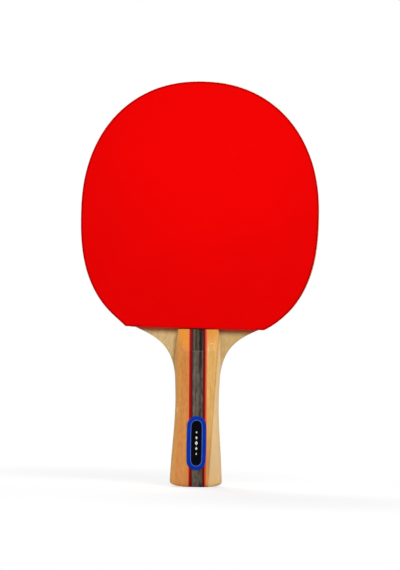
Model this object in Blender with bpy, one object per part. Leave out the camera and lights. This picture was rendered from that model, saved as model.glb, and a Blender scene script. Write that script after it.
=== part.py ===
"""A table tennis paddle, modelled upright in metres with +Z up.

The butt of the handle stands at the origin, the head is above it, the red side faces -Y
and the black side +Y. Everything is flat stock glued together, so each layer's seat is
worked out from the layers beneath it.
"""

import math

import bmesh
import bpy
from mathutils import Vector

# Head: two halves of a fuller-than-elliptical oval that meet at its widest line
HEAD_WIDTH = 0.150
WIDEST_ABOVE_HANDLE = 0.0730
HEAD_ABOVE_WIDEST = 0.0834
OVAL_FOOT_BELOW_HANDLE_END = 0.0076
HEAD_TOP_FULLNESS = 2.18
HEAD_FOOT_FULLNESS = 2.53

# Wings: the blade's hollow curve from the head down into the handle
WING_JOIN_ABOVE_CUT = 0.0127
WING_FOOT_BELOW_HANDLE_END = 0.0359
WING_HEAD_PULL = 0.0250
WING_FOOT_PULL = 0.0389

# Blade plies
CORE_PLY = 0.0030
INNER_PLY = 0.0008
OUTER_PLY = 0.0007

# Rubber sheets, cut a hair inside the blade's edge, with the front one's left flank cut straight
SPONGE = 0.0018
TOPSHEET = 0.0016
RUBBER_TRIM = 0.0001
RUBBER_GAP = 0.0004
FRONT_SHEET_TURN = math.radians(0.73)
FRONT_SHEET_SHIFT = 0.0002
FRONT_FLANK_RISE = 0.0070

# Handle, measured up from the butt
HANDLE_LENGTH = 0.0994
BUTT_WIDTH = 0.0328
WAIST_WIDTH = 0.0274
WAIST_ABOVE_BUTT = 0.054
SHOULDER_WIDTH = 0.0288
SHOULDER_BELOW_END = 0.021
END_WIDTH = 0.0258
BUTT_CROWN_WIDTH = 0.011
BUTT_CROWN_RISE = 0.003
BUTT_EDGE_ROUND = 0.002

# Handle scales: one on each side of the blade
SCALE_THICKNESS = 0.0083
SCALE_END_THICKNESS = 0.0039
RAMP_LENGTH = 0.014
SCALE_EDGE_WIDTH = 0.0036
SCALE_EDGE_DEPTH = 0.0045
CENTRE_STRIP_WIDTH = 0.0068
RED_VENEER = 0.0018
STRIPE_SHIFT = 0.0008
STRIPE_LEAN = math.radians(0.55)

# Badge on the front scale
BADGE_WIDTH = 0.012
BADGE_LENGTH = 0.034
BADGE_THICKNESS = 0.0006
BADGE_ABOVE_BUTT = 0.0278

# Glue line left between flat faces
GLUE_LINE = 0.00005

# How finely the curves are divided
HEAD_STEPS = 96
WING_STEPS = 16
HANDLE_STEPS = 16
RAMP_STEPS = 5
CROWN_STEPS = 6
EDGE_STEPS = 5
BADGE_STEPS = 12
SHARP_ANGLE = math.radians(35)
TANGENT_ANGLE = math.radians(0.05)
CUT_TOLERANCE = 1e-7
LEAST_STEP = 0.0005

# Heights above the butt that follow from the sizes above
WIDEST_HEIGHT = HANDLE_LENGTH + WIDEST_ABOVE_HANDLE
HEAD_BELOW_WIDEST = WIDEST_ABOVE_HANDLE + OVAL_FOOT_BELOW_HANDLE_END
CUT_HEIGHT = HANDLE_LENGTH + RUBBER_GAP + FRONT_SHEET_SHIFT + END_WIDTH / 2 * math.tan(FRONT_SHEET_TURN)
WING_JOIN_HEIGHT = CUT_HEIGHT + WING_JOIN_ABOVE_CUT
WING_FOOT_HEIGHT = HANDLE_LENGTH - WING_FOOT_BELOW_HANDLE_END
SHOULDER_HEIGHT = HANDLE_LENGTH - SHOULDER_BELOW_END
RAMP_HEIGHT = HANDLE_LENGTH - RAMP_LENGTH

# Distances of each layer's seat from the blade's middle plane
INNER_SEAT = CORE_PLY / 2 + GLUE_LINE
OUTER_SEAT = INNER_SEAT + INNER_PLY + GLUE_LINE
BLADE_FACE = OUTER_SEAT + OUTER_PLY
SPONGE_SEAT = BLADE_FACE + GLUE_LINE
TOPSHEET_SEAT = SPONGE_SEAT + SPONGE + GLUE_LINE
SCALE_SEAT = BLADE_FACE + GLUE_LINE
BADGE_SEAT = SCALE_SEAT + SCALE_THICKNESS + GLUE_LINE

# Colours and finishes: linear colour, roughness
PALE_WOOD = ((0.60, 0.42, 0.22), 0.55)
CORE_WOOD = ((0.64, 0.48, 0.29), 0.60)
CROSS_WOOD = ((0.46, 0.29, 0.14), 0.60)
ORANGE_WOOD = ((0.60, 0.24, 0.07), 0.40)
YELLOW_WOOD = ((0.68, 0.38, 0.12), 0.40)
RED_WOOD = ((0.26, 0.012, 0.006), 0.40)
GREY_WOOD = ((0.090, 0.070, 0.058), 0.40)
RED_RUBBER = ((0.82, 0.002, 0.002), 0.45)
BLACK_RUBBER = ((0.012, 0.012, 0.013), 0.45)
FOAM = ((0.78, 0.46, 0.15), 0.85)
BLUE_ENAMEL = ((0.006, 0.036, 0.33), 0.25)


def eased(start, end, share):
    """A value that leaves start and reaches end with no slope at either."""
    return start + (end - start) * share * share * (3 - 2 * share)


def oval_point(angle, trim=0.0):
    """A point on the head's outline, with the angle measured up from its widest line."""
    cosine, sine = math.cos(angle), math.sin(angle)
    height = HEAD_ABOVE_WIDEST if sine >= 0 else HEAD_BELOW_WIDEST
    fullness = HEAD_TOP_FULLNESS if sine >= 0 else HEAD_FOOT_FULLNESS
    across = math.copysign(abs(cosine) ** (2 / fullness), cosine)
    up = math.copysign(abs(sine) ** (2 / fullness), sine)
    return (HEAD_WIDTH / 2 - trim) * across, WIDEST_HEIGHT + (height - trim) * up


def oval_angle(height, trim=0.0):
    """The angle at which the lower half of the head's outline passes this height."""
    share = (WIDEST_HEIGHT - height) / (HEAD_BELOW_WIDEST - trim)
    return -math.asin(share ** (HEAD_FOOT_FULLNESS / 2))


def head_arc(height, trim=0.0):
    """The head's outline from this height on the right, over the top, to it on the left."""
    first = oval_angle(height, trim)
    sweep = math.pi - 2 * first
    return [oval_point(first + sweep * step / HEAD_STEPS, trim) for step in range(HEAD_STEPS + 1)]


def handle_half_width(height):
    """Half the handle's width: flared at the butt, waisted, and drawn in at the upper end."""
    if height < WAIST_ABOVE_BUTT:
        return eased(BUTT_WIDTH, WAIST_WIDTH, height / WAIST_ABOVE_BUTT) / 2
    if height < SHOULDER_HEIGHT:
        share = (height - WAIST_ABOVE_BUTT) / (SHOULDER_HEIGHT - WAIST_ABOVE_BUTT)
        return eased(WAIST_WIDTH, SHOULDER_WIDTH, share) / 2
    share = (height - SHOULDER_HEIGHT) / SHOULDER_BELOW_END
    return (SHOULDER_WIDTH + (END_WIDTH - SHOULDER_WIDTH) * share * share) / 2


def butt_stations():
    """Height, half width and loss of thickness up the rounded butt, from its flat to its side."""
    stations = []
    for step in range(CROWN_STEPS + 1):
        turn = math.pi / 2 * (1 - step / CROWN_STEPS)
        height = BUTT_CROWN_RISE * (1 - math.sin(turn))
        lost = 1 - math.cos(turn)
        half_width = handle_half_width(height) - BUTT_CROWN_WIDTH * lost
        stations.append((height, half_width, BUTT_EDGE_ROUND * lost))
    return stations


def wing_curve(join):
    """The right wing, as a cubic curve from where it leaves the head down to the handle's side."""
    nearby = oval_point(oval_angle(WING_JOIN_HEIGHT) + TANGENT_ANGLE)
    apart = math.hypot(join[0] - nearby[0], join[1] - nearby[1])
    leaving = [(join[axis] - nearby[axis]) / apart for axis in (0, 1)]
    foot = (handle_half_width(WING_FOOT_HEIGHT), WING_FOOT_HEIGHT)
    upper = [join[axis] + WING_HEAD_PULL * leaving[axis] for axis in (0, 1)]
    lower = (foot[0], foot[1] + WING_FOOT_PULL)
    points = []
    for step in range(1, WING_STEPS + 1):
        far = step / WING_STEPS
        near = 1 - far
        weights = (near ** 3, 3 * near * near * far, 3 * near * far * far, far ** 3)
        corners = (join, upper, lower, foot)
        points.append([sum(w * p[axis] for w, p in zip(weights, corners)) for axis in (0, 1)])
    return points


def blade_outline():
    """The whole blade seen from the front, anticlockwise from the right end of the butt."""
    head = head_arc(WING_JOIN_HEIGHT)
    right = [(half_width, height) for height, half_width, _ in butt_stations()]
    span = WING_FOOT_HEIGHT - BUTT_CROWN_RISE
    for step in range(1, HANDLE_STEPS):
        height = BUTT_CROWN_RISE + span * step / HANDLE_STEPS
        right.append((handle_half_width(height), height))
    right += reversed(wing_curve(head[0]))
    left = [(-across, height) for across, height in reversed(right)]
    return right + head + left


def rubber_outline():
    """A rubber sheet: the head's oval, trimmed and cut straight above the handle."""
    return head_arc(CUT_HEIGHT, RUBBER_TRIM)


def front_rubber_outline():
    """The same, but its left flank leaves the oval and runs straight down to the cut."""
    leaving_height = CUT_HEIGHT + FRONT_FLANK_RISE
    angle = math.pi - oval_angle(leaving_height, RUBBER_TRIM)
    leaving = oval_point(angle, RUBBER_TRIM)
    nearby = oval_point(angle - TANGENT_ANGLE, RUBBER_TRIM)
    slope = (leaving[0] - nearby[0]) / (leaving[1] - nearby[1])
    corner = (leaving[0] - slope * FRONT_FLANK_RISE, CUT_HEIGHT)
    lowest = leaving_height + LEAST_STEP
    arc = [(across, height) for across, height in rubber_outline() if across > 0 or height > lowest]
    return arc + [leaving, corner]


def badge_outline():
    """An upright capsule."""
    radius = BADGE_WIDTH / 2
    half_run = BADGE_LENGTH / 2 - radius
    points = []
    for start, centre in ((0.0, half_run), (math.pi, -half_run)):
        for step in range(BADGE_STEPS + 1):
            angle = start + math.pi * step / BADGE_STEPS
            points.append((radius * math.cos(angle), centre + radius * math.sin(angle)))
    return points


def finished_mesh(name, shape):
    """A mesh from this bmesh, facing outwards, with its round faces shaded smooth."""
    bmesh.ops.recalc_face_normals(shape, faces=shape.faces)
    mesh = bpy.data.meshes.new(name)
    shape.to_mesh(mesh)
    shape.free()
    mesh.shade_smooth()
    mesh.set_sharp_from_angle(angle=SHARP_ANGLE)
    mesh.materials.append(None)
    return mesh


def sheet_mesh(name, outline, thickness):
    """An upright flat sheet with its seat at y = 0 and its face at y = -thickness."""
    shape = bmesh.new()
    seat = shape.faces.new([shape.verts.new((across, 0, height)) for across, height in outline])
    grown = bmesh.ops.extrude_face_region(shape, geom=[seat])["geom"]
    moved = [item for item in grown if isinstance(item, bmesh.types.BMVert)]
    bmesh.ops.translate(shape, verts=moved, vec=(0, -thickness, 0))
    return finished_mesh(name, shape)


def scale_section(height, half_width, thickness):
    """The D-shaped outline of a whole handle scale at one height."""
    edge_width = min(SCALE_EDGE_WIDTH, half_width / 2)
    edge_depth = SCALE_EDGE_DEPTH * thickness / SCALE_THICKNESS
    right = [(half_width, 0)]
    for step in range(EDGE_STEPS + 1):
        turn = math.pi / 2 * step / EDGE_STEPS
        across = half_width - edge_width * (1 - math.cos(turn))
        right.append((across, thickness - edge_depth * (1 - math.sin(turn))))
    left = [(-across, depth) for across, depth in reversed(right)]
    return [(across, -depth, height) for across, depth in right + left]


def scale_shape():
    """A whole handle scale, lofted from the butt up to the end of its ramp."""
    sections = []
    for height, half_width, lost in butt_stations():
        sections.append(scale_section(height, half_width, SCALE_THICKNESS - lost))
    span = RAMP_HEIGHT - BUTT_CROWN_RISE
    for step in range(1, HANDLE_STEPS + 1):
        height = BUTT_CROWN_RISE + span * step / HANDLE_STEPS
        sections.append(scale_section(height, handle_half_width(height), SCALE_THICKNESS))
    for step in range(1, RAMP_STEPS + 1):
        share = step / RAMP_STEPS
        height = RAMP_HEIGHT + RAMP_LENGTH * share
        thickness = SCALE_THICKNESS + (SCALE_END_THICKNESS - SCALE_THICKNESS) * share
        sections.append(scale_section(height, handle_half_width(height), thickness))
    shape = bmesh.new()
    rings = [[shape.verts.new(point) for point in section] for section in sections]
    shape.faces.new(rings[0])
    shape.faces.new(rings[-1])
    for below, above in zip(rings, rings[1:]):
        for index in range(len(below)):
            after = (index + 1) % len(below)
            shape.faces.new((below[index], below[after], above[after], above[index]))
    return shape


def scale_slice(name, left, right):
    """The part of a handle scale between two leaning glue planes. None leaves that side whole."""
    shape = scale_shape()
    lean = Vector((math.cos(STRIPE_LEAN), 0, math.sin(STRIPE_LEAN)))
    for across, outwards in ((left, -1), (right, 1)):
        if across is None:
            continue
        everything = shape.verts[:] + shape.edges[:] + shape.faces[:]
        cut = bmesh.ops.bisect_plane(
            shape,
            geom=everything,
            dist=CUT_TOLERANCE,
            plane_co=(across + STRIPE_SHIFT, 0, 0),
            plane_no=lean * outwards,
            clear_outer=True,
        )["geom_cut"]
        rim = [item for item in cut if isinstance(item, bmesh.types.BMEdge)]
        bmesh.ops.edgenet_fill(shape, edges=rim)
    return finished_mesh(name, shape)


def finish(name, look):
    """A material with one colour and one roughness. Nothing on the paddle is metal."""
    colour, roughness = look
    material = bpy.data.materials.new(name)
    material.use_nodes = True
    shader = material.node_tree.nodes["Principled BSDF"]
    shader.inputs["Base Color"].default_value = (*colour, 1)
    shader.inputs["Roughness"].default_value = roughness
    shader.inputs["Metallic"].default_value = 0
    return material


def empty(name, parent=None, location=(0, 0, 0), rotation=(0, 0, 0)):
    """A frame for pieces to sit in."""
    holder = bpy.data.objects.new(name, None)
    bpy.context.scene.collection.objects.link(holder)
    holder.parent = parent
    holder.location = location
    holder.rotation_euler = rotation
    return holder


def piece(name, mesh, material, parent, location=(0, 0, 0)):
    """One sub-part. Its material is its own, because it may share its mesh with another."""
    part = bpy.data.objects.new(name, mesh)
    bpy.context.scene.collection.objects.link(part)
    part.parent = parent
    part.location = location
    part.material_slots[0].link = "OBJECT"
    part.material_slots[0].material = material


def make_blade(paddle, sides):
    """Five plies: the core, then a cross-grained ply and a face ply on each side of it."""
    outline = blade_outline()
    core = sheet_mesh("core_ply", outline, CORE_PLY)
    piece("blade_core_ply", core, finish("core_wood", CORE_WOOD), paddle, (0, CORE_PLY / 2, 0))
    layers = (("inner", INNER_PLY, INNER_SEAT, CROSS_WOOD), ("outer", OUTER_PLY, OUTER_SEAT, PALE_WOOD))
    for layer, thickness, seat, look in layers:
        mesh = sheet_mesh(f"{layer}_ply", outline, thickness)
        wood = finish(f"{layer}_ply_wood", look)
        for side, holder in sides.items():
            piece(f"blade_{layer}_ply_{side}", mesh, wood, holder, (0, -seat, 0))


def make_rubbers(sides):
    """A sponge and a topsheet on each side. The front pair is glued on slightly turned, low and left."""
    foam = finish("foam", FOAM)
    colours = {"front": finish("red_rubber", RED_RUBBER), "back": finish("black_rubber", BLACK_RUBBER)}
    outlines = {"front": front_rubber_outline(), "back": rubber_outline()}
    for side, holder in sides.items():
        turn = FRONT_SHEET_TURN if side == "front" else 0
        shift = FRONT_SHEET_SHIFT if side == "front" else 0
        sheet = empty(f"{side}_rubber", holder, (-shift, 0, WIDEST_HEIGHT - shift), (0, turn, 0))
        outline = [(across, height - WIDEST_HEIGHT) for across, height in outlines[side]]
        sponge = sheet_mesh(f"{side}_sponge", outline, SPONGE)
        topsheet = sheet_mesh(f"{side}_topsheet", outline, TOPSHEET)
        piece(f"{side}_sponge", sponge, foam, sheet, (0, -SPONGE_SEAT, 0))
        piece(f"{side}_topsheet", topsheet, colours[side], sheet, (0, -TOPSHEET_SEAT, 0))


def make_scales(sides):
    """Each scale is laid up of a cheek, a red veneer, a grey strip, a red veneer and a cheek."""
    strip = CENTRE_STRIP_WIDTH / 2
    veneer = strip + GLUE_LINE
    veneer_far = veneer + RED_VENEER
    cheek = veneer_far + GLUE_LINE
    slices = {
        "left_cheek": (None, -cheek, finish("orange_wood", ORANGE_WOOD)),
        "left_red_veneer": (-veneer_far, -veneer, finish("left_red_wood", RED_WOOD)),
        "centre_strip": (-strip, strip, finish("grey_wood", GREY_WOOD)),
        "right_red_veneer": (veneer, veneer_far, finish("right_red_wood", RED_WOOD)),
        "right_cheek": (cheek, None, finish("yellow_wood", YELLOW_WOOD)),
    }
    for name, (left, right, wood) in slices.items():
        mesh = scale_slice(name, left, right)
        for side, holder in sides.items():
            piece(f"{side}_{name}", mesh, wood, holder, (0, -SCALE_SEAT, 0))


def make_badge(holder):
    """A thin capsule-shaped plate on the flat of the front scale."""
    mesh = sheet_mesh("badge", badge_outline(), BADGE_THICKNESS)
    blue = finish("blue_enamel", BLUE_ENAMEL)
    piece("grip_badge", mesh, blue, holder, (0, -BADGE_SEAT, BADGE_ABOVE_BUTT))


def main():
    for old in list(bpy.data.objects):
        bpy.data.objects.remove(old)
    paddle = empty("paddle")
    sides = {
        "front": empty("front_side", paddle),
        "back": empty("back_side", paddle, rotation=(0, 0, math.pi)),
    }
    make_blade(paddle, sides)
    make_rubbers(sides)
    make_scales(sides)
    make_badge(sides["front"])


main()
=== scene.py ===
import math

import bmesh
import bpy
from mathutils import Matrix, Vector
from mathutils.kdtree import KDTree


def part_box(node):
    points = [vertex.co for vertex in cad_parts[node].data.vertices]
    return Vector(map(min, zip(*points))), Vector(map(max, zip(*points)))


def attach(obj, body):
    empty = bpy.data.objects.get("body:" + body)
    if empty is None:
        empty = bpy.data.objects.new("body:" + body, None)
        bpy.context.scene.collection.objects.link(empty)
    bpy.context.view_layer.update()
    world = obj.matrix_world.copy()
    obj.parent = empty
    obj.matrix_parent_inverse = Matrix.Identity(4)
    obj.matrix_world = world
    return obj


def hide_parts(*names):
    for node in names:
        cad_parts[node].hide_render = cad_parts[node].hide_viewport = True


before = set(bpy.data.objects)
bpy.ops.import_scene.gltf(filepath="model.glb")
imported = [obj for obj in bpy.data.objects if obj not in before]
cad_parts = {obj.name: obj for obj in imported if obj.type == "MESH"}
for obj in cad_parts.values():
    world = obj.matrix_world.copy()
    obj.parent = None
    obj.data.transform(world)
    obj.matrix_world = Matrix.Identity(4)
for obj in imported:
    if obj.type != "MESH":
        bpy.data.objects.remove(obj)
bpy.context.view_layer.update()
mm = 0.001
sides = {"front": -1, "back": 1}  # which way each side of the blade looks along y
print("frame:", len(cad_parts), "nodes")


# shader building

class Value:
    # one socket of a shader, so that maths on it reads as arithmetic
    def __init__(self, look, socket):
        self.look = look
        self.socket = socket

    def maths(self, operation, *values):
        return self.look.node("ShaderNodeMath", {"operation": operation}, dict(enumerate(values)))

    def __add__(self, other):
        return self.maths("ADD", self, other)

    def __radd__(self, other):
        return self.maths("ADD", other, self)

    def __sub__(self, other):
        return self.maths("SUBTRACT", self, other)

    def __rsub__(self, other):
        return self.maths("SUBTRACT", other, self)

    def __mul__(self, other):
        return self.maths("MULTIPLY", self, other)

    def __rmul__(self, other):
        return self.maths("MULTIPLY", other, self)

    def __truediv__(self, other):
        return self.maths("DIVIDE", self, other)

    def __rtruediv__(self, other):
        return self.maths("DIVIDE", other, self)

    def __abs__(self):
        return self.maths("ABSOLUTE", self)

    def sine(self):
        return self.maths("SINE", self)

    def root(self):
        return self.maths("SQRT", self)

    def larger(self, other):
        return self.maths("MAXIMUM", self, other)

    def swing(self, share):
        # a noise taken about its middle, so that it adds as much as it takes away
        return (self - 0.5) * share

    def rise(self, low, high):
        # eased from 0 at low to 1 at high; low above high turns it round
        settings = {"interpolation_type": "SMOOTHSTEP"}
        return self.look.node("ShaderNodeMapRange", settings, {0: self, 1: low, 2: high})


class Look:
    # the node tree of one material, or of the world
    def __init__(self, owner):
        owner.use_nodes = True
        self.owner = owner
        self.tree = owner.node_tree
        self.tree.nodes.clear()

    def node(self, kind, settings=None, sockets=None, out=0):
        made = self.tree.nodes.new(kind)
        for key, value in (settings or {}).items():
            setattr(made, key, value)
        for key, value in (sockets or {}).items():
            if isinstance(value, Value):
                self.tree.links.new(value.socket, made.inputs[key])
            else:
                made.inputs[key].default_value = value
        return Value(self, made.outputs[out]) if made.outputs else made

    def place(self, shift=(0, 0, 0)):
        # where a point is on the paddle, in millimetres, moved by shift
        at = self.node("ShaderNodeTexCoord", out="Object")
        sockets = {0: at, 1: (1 / mm, 1 / mm, 1 / mm), 2: shift}
        return self.node("ShaderNodeVectorMath", {"operation": "MULTIPLY_ADD"}, sockets)

    def axes(self, at):
        return [self.node("ShaderNodeSeparateXYZ", None, {0: at}, out) for out in "XYZ"]

    def sized(self, at, size):
        return self.node("ShaderNodeVectorMath", {"operation": "DIVIDE"}, {0: at, 1: size})

    def noise(self, at, size, detail=2.0, roughness=0.5):
        # size is the width, depth and length of one blotch, in millimetres
        sockets = {"Vector": self.sized(at, size), "Scale": 1.0, "Detail": detail, "Roughness": roughness}
        return self.node("ShaderNodeTexNoise", None, sockets)

    def cells(self, at, size):
        return self.node("ShaderNodeTexVoronoi", None, {"Vector": self.sized(at, size), "Scale": 1.0})

    def rim(self):
        # 1 along a piece's outer edge, 0 inside it
        return self.node("ShaderNodeAttribute", {"attribute_name": "rim"}, out="Fac")

    def mix(self, share, first, second):
        sockets = {0: share, 6: first, 7: second}  # 6 and 7 are its two colours
        return self.node("ShaderNodeMix", {"data_type": "RGBA"}, sockets, out=2)

    def bump(self, height, distance):
        sockets = {"Height": height, "Distance": distance * mm, "Strength": 1.0}
        return self.node("ShaderNodeBump", None, sockets)

    def surface(self, colour, roughness, normal, **fixed):
        sockets = {"Base Color": colour, "Roughness": roughness, "Normal": normal}
        sockets.update({key.replace("_", " "): value for key, value in fixed.items()})
        self.output(self.node("ShaderNodeBsdfPrincipled", None, sockets))
        return self.owner

    def blended(self, share, first, second):
        return self.node("ShaderNodeMixShader", None, {0: share, 1: first, 2: second})

    def output(self, shader, kind="ShaderNodeOutputMaterial"):
        self.node(kind, None, {0: shader})


def tint(red, green, blue):
    # a colour as a screen shows it, made linear
    linear = []
    for level in (red, green, blue):
        share = level / 255
        linear.append(share / 12.92 if share <= 0.04045 else ((share + 0.055) / 1.055) ** 2.4)
    return (*linear, 1.0)


def newLook(name):
    return Look(bpy.data.materials.new(name))


# mesh building

outline = {
    "facing": -0.9,  # a face that looks further forward than this is on the front
    "digits": 7,  # decimals that tell points apart
}


def nodeLoop(nodeName):
    # a flat node's outline, anticlockwise seen from the front, as points across and up
    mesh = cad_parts[nodeName].data
    digits = outline["digits"]
    edges = set()
    for face in mesh.polygons:
        if face.normal.y > outline["facing"]:
            continue
        spots = [mesh.vertices[index].co for index in face.vertices]
        ring = [(round(spot.x, digits), round(spot.z, digits)) for spot in spots]
        for start, end in zip(ring, ring[1:] + ring[:1]):
            if (end, start) in edges:
                edges.remove((end, start))
            else:
                edges.add((start, end))
    following = dict(edges)
    first = min(following)
    loop = [first]
    while following[loop[-1]] != first:
        loop.append(following[loop[-1]])
    return [Vector(point) for point in loop]


def smoothRun(points, spacing, lead=None, trail=None):
    # a curve through the points; lead and trail are the points it would reach beyond its ends
    before = lead or 2 * points[0] - points[1]
    beyond = trail or 2 * points[-1] - points[-2]
    path = [before, *points, beyond]
    run = []
    for a, b, c, d in zip(path, path[1:], path[2:], path[3:]):
        first = (b - a).length ** 0.5
        second = first + (c - b).length ** 0.5
        third = second + (d - c).length ** 0.5
        steps = max(1, round((c - b).length / spacing))
        for step in range(steps):
            t = first + (second - first) * step / steps
            ab = a.lerp(b, t / first)
            bc = b.lerp(c, (t - first) / (second - first))
            cd = c.lerp(d, (t - second) / (third - second))
            left = ab.lerp(bc, t / second)
            right = bc.lerp(cd, (t - first) / (third - first))
            run.append(left.lerp(right, (t - first) / (second - first)))
    return run + [points[-1]]


def smoothLoop(points, spacing, cornerTurn):
    # the loop drawn as curves between those of its corners that turn more than cornerTurn degrees
    count = len(points)
    corners = []
    for index in range(count):
        arriving = points[index] - points[index - 1]
        leaving = points[(index + 1) % count] - points[index]
        if math.degrees(arriving.angle(leaving)) > cornerTurn:
            corners.append(index)
    if not corners:
        return smoothRun(points + points[:1], spacing, points[-1], points[1])[:-1]
    loop = []
    for start, end in zip(corners, corners[1:] + [corners[0] + count]):
        run = [points[index % count] for index in range(start, end + 1)]
        loop += smoothRun(run, spacing)[:-1]
    return loop


def insetLoop(loop, distance):
    moved = []
    for before, here, after in zip(loop[-1:] + loop[:-1], loop, loop[1:] + loop[:1]):
        arriving = (here - before).normalized()
        leaving = (after - here).normalized()
        inwards = arriving + leaving
        inwards = Vector((-inwards.y, inwards.x))
        moved.append(here + inwards * (distance / (1 + arriving.dot(leaving))))
    return moved


def roundRows(depth, radius, steps, start, end):
    # rows of inset and depth round an edge, from start to end degrees, 0 being straight out
    rows = []
    for step in range(steps + 1):
        turn = math.radians(start + (end - start) * step / steps)
        rows.append((radius * (1 - math.cos(turn)), depth + radius * math.sin(turn)))
    return rows


def sheetRings(loop, rows, side):
    # one ring for each row of inset and depth, on this side of the blade
    rings = []
    for inset, depth in rows:
        rings.append([(spot.x, side * depth, spot.y) for spot in insetLoop(loop, inset)])
    return rings


def loft(rings, rims=None, closed=False, shape=None):
    # a skin over the rings, added to shape if there is one; closed joins the last ring to the first
    if shape is None:
        shape = bmesh.new()
        shape.verts.layers.float.new("rim")
    rimLayer = shape.verts.layers.float["rim"]
    made = []
    for index, ring in enumerate(rings):
        row = [shape.verts.new(point) for point in ring]
        shares = rims[index] if rims else [0.0] * len(row)
        for vertex, share in zip(row, shares):
            vertex[rimLayer] = share
        made.append(row)
    if closed:
        made.append(made[0])
    else:
        shape.faces.new(made[0])
        shape.faces.new(made[-1])
    for below, above in zip(made, made[1:]):
        for index in range(len(below)):
            shape.faces.new((below[index - 1], below[index], above[index], above[index - 1]))
    return shape


def addObject(name, data):
    made = bpy.data.objects.new(name, data)
    bpy.context.scene.collection.objects.link(made)
    return made


def addPiece(name, shape, material, slot, *nodes, sharpTurn=38):
    bmesh.ops.recalc_face_normals(shape, faces=shape.faces)
    mesh = bpy.data.meshes.new(name)
    shape.to_mesh(mesh)
    shape.free()
    mesh.shade_smooth()
    mesh.set_sharp_from_angle(angle=math.radians(sharpTurn))
    mesh.materials.append(material)
    made = addObject(name, mesh)
    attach(made, "root")
    if nodes:
        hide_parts(*nodes)
    return made


def depthRange(nodeName):
    # how far a node's two faces are from the blade's middle plane
    low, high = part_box(nodeName)
    return sorted((abs(low.y), abs(high.y)))


# timber

grain = {
    "ringTilt": 0.3,
    "poreFrom": (0.62, 0.72),
    "streakRelief": 0.5,
    "fibreRelief": 0.6,
    "poreRelief": 0.7,
    "streakRough": 0.15,
    "poreRough": 0.12,
}


def timber(name, wood, dress=None):
    # broad, streak, fibre, fleck and pore are the sizes of one blotch of each, in millimetres
    look = newLook(name)
    at = look.place(wood["shift"])
    across, through, _ = look.axes(at)
    broad = look.noise(at, wood["broad"])
    streak = look.noise(at, wood["streak"], detail=4.0, roughness=0.6)
    fibre = look.noise(at, wood["fibre"], detail=3.0, roughness=0.6)
    fleck = look.noise(at, wood["fleck"])
    ring = ((across + through * grain["ringTilt"]) / wood["ring"] + broad * wood["warp"]).sine()
    share = 0.5 + broad.swing(wood["broadly"]) + streak.swing(wood["streaky"])
    share = share + ring * wood["ringed"] + fibre.swing(wood["fibrous"]) + fleck.swing(wood["flecky"])
    colour = look.mix(share, wood["dark"], wood["light"])
    pore = look.noise(at, wood["pore"], detail=1.0).rise(*grain["poreFrom"])
    colour = look.mix(pore * wood["porous"], colour, wood["poreTone"])
    if dress:
        colour = dress(look, colour)
    relief = streak * grain["streakRelief"] + fibre * grain["fibreRelief"] - pore * grain["poreRelief"]
    roughness = wood["rough"] + streak.swing(grain["streakRough"]) + pore * grain["poreRough"]
    return look.surface(
        colour,
        roughness,
        look.bump(relief, wood["relief"]),
        Specular_IOR_Level=wood["shine"],
        Coat_Weight=wood["coat"],
        Coat_Roughness=wood["coatRough"],
    )


def wash(look, colour, value, coat):
    # a tone laid over the colour, stronger as the value goes along the run
    return look.mix(value.rise(*coat["run"]) * coat["share"], colour, coat["tone"])


# blade: five plies

blade = {
    "spacing": 1.2 * mm,
    "cornerTurn": 45,
    "arris": 0.10 * mm,
    "faceArris": 0.30 * mm,
    "arrisSteps": 3,
    "flatFrom": 0.9 * mm,
    "faceWood": {
        "shift": (40, 0, 0), "light": tint(220, 193, 138), "dark": tint(195, 162, 104),
        "poreTone": tint(150, 112, 66), "broad": (10, 10, 170), "streak": (0.9, 0.9, 34),
        "fibre": (0.24, 0.24, 6), "pore": (0.3, 0.3, 4.5), "ring": 0.55, "warp": 9.0,
        "broadly": 1.1, "streaky": 0.9, "ringed": 0.05, "fibrous": 0.6, "porous": 0.35,
        "fleck": (1.2, 1.2, 3.0), "flecky": 1.2,
        "rough": 0.55, "relief": 0.05, "shine": 0.3, "coat": 0.05, "coatRough": 0.35,
    },
    "crossWood": {
        "shift": (0, 70, 20), "light": tint(176, 128, 76), "dark": tint(132, 88, 46),
        "poreTone": tint(88, 54, 26), "broad": (120, 10, 12), "streak": (26, 0.5, 0.8),
        "fibre": (5, 0.2, 0.2), "pore": (3, 0.22, 0.22), "ring": 0.8, "warp": 6.0,
        "broadly": 0.8, "streaky": 1.1, "ringed": 0.1, "fibrous": 0.8, "porous": 0.6,
        "fleck": (3.5, 0.6, 1.3), "flecky": 0.5,
        "rough": 0.62, "relief": 0.05, "shine": 0.25, "coat": 0.0, "coatRough": 0.4,
    },
    "coreWood": {
        "shift": (0, 0, 90), "light": tint(222, 194, 146), "dark": tint(190, 153, 104),
        "poreTone": tint(140, 104, 64), "broad": (12, 12, 150), "streak": (0.8, 0.8, 30),
        "fibre": (0.25, 0.25, 6), "pore": (0.3, 0.3, 3), "ring": 0.7, "warp": 7.0,
        "broadly": 0.8, "streaky": 1.2, "ringed": 0.14, "fibrous": 0.7, "porous": 0.5,
        "fleck": (1.3, 1.3, 3.5), "flecky": 0.5,
        "rough": 0.62, "relief": 0.05, "shine": 0.25, "coat": 0.0, "coatRough": 0.4,
    },
    # runs across the blade from its middle
    "heart": {"tone": tint(190, 150, 84), "run": (8, 24), "share": 0.45},
    # painted shadow under the rubber's cut, brown further down and red-brown close under it: runs down from
    # the cut
    "cutShadowFrom": (-2.0, -0.6),
    "glue": {"tone": tint(112, 58, 28), "run": (5.2, 0.8), "share": 0.5},
    "cutShadowRed": {"tone": tint(182, 34, 4), "run": (2.8, 0.5), "share": 0.8},
    "wanderSize": (4, 4, 4),
    "wander": 0.8,
}

bladeLoop = smoothLoop(nodeLoop("blade_core_ply"), blade["spacing"], blade["cornerTurn"])
for spot in bladeLoop:
    spot.y = max(spot.y, 0.0)  # the butt stays on the floor


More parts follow.
